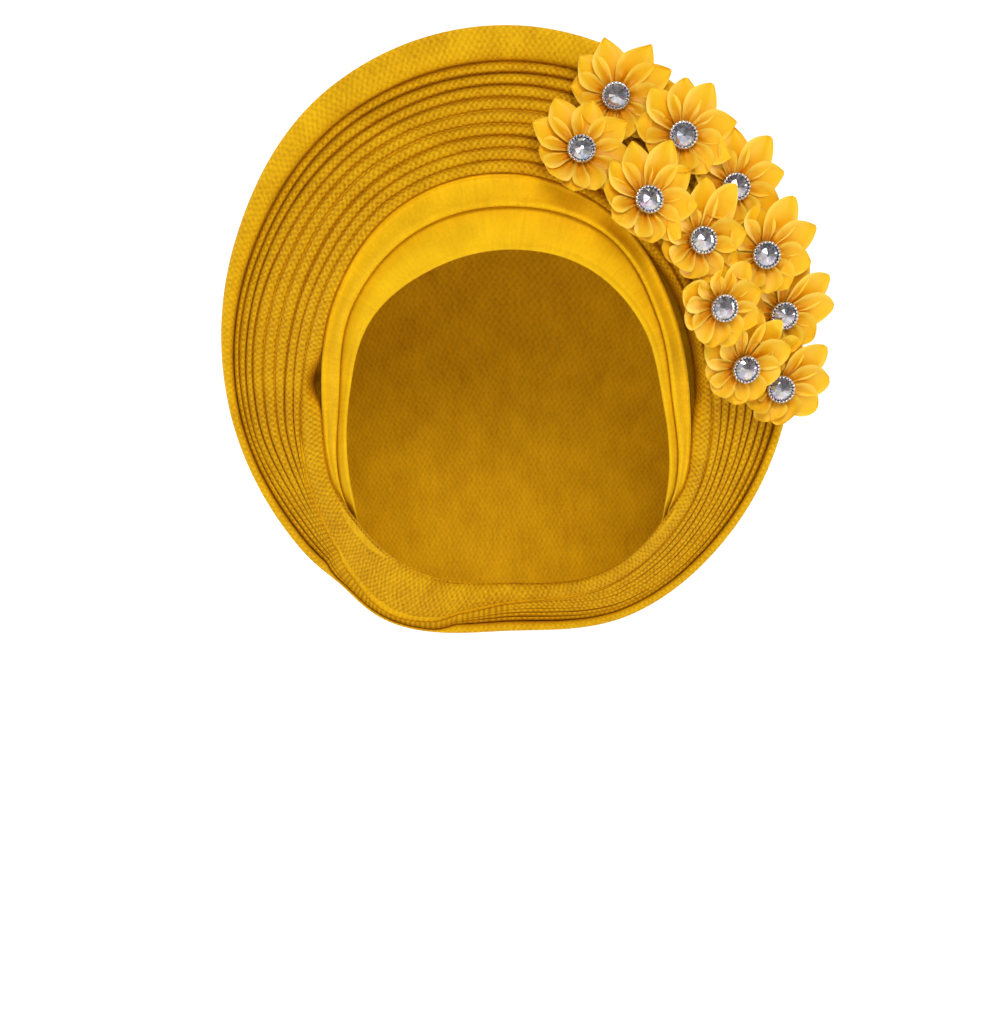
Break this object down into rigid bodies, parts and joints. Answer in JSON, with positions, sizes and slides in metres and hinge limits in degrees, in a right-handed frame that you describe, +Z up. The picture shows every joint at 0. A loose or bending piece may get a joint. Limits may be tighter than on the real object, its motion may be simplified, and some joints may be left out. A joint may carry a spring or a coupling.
{
  "type": "tied gele head tie",
  "caption": "Pre-tied golden yellow gele head tie: pleated fan round the face opening, smooth brow bands, rounded back crown, and a side spray of satin ribbon flowers with rhinestone centres.",
  "frame": {"origin": "the point inside the cloth where the crown of the wearer's head touches it", "axes": "+Z up along the wearer's head, -Y the way the face opening looks, +X to the side with the flowers"},
  "size_m": [0.2418, 0.1992, 0.2372],
  "materials": {
    "cloth": "stiff woven cloth with a fine diamond grain, golden yellow",
    "ribbon": "satin ribbon, golden yellow, darker orange in the folds",
    "setting": "bright silver-coloured plating",
    "stone": "clear faceted stone with a faint rainbow coating"
  },
  "bodies": {
    "root": {"forehead_band": "cloth", "fold_band": "cloth", "pleated_fan": "cloth", "back_crown": "cloth", "flower_01": "ribbon", "stone_cup_01": "setting", "rhinestone_01": "stone", "flower_02": "ribbon", "stone_cup_02": "setting", "rhinestone_02": "stone", "flower_03": "ribbon", "stone_cup_03": "setting", "rhinestone_03": "stone", "flower_04": "ribbon", "stone_cup_04": "setting", "rhinestone_04": "stone", "flower_05": "ribbon", "stone_cup_05": "setting", "rhinestone_05": "stone", "flower_06": "ribbon", "stone_cup_06": "setting", "rhinestone_06": "stone", "flower_07": "ribbon", "stone_cup_07": "setting", "rhinestone_07": "stone", "flower_08": "ribbon", "stone_cup_08": "setting", "rhinestone_08": "stone", "flower_09": "ribbon", "stone_cup_09": "setting", "rhinestone_09": "stone", "flower_10": "ribbon", "stone_cup_10": "setting", "rhinestone_10": "stone", "flower_11": "ribbon", "stone_cup_11": "setting", "rhinestone_11": "stone"}
  },
  "joints": []
}
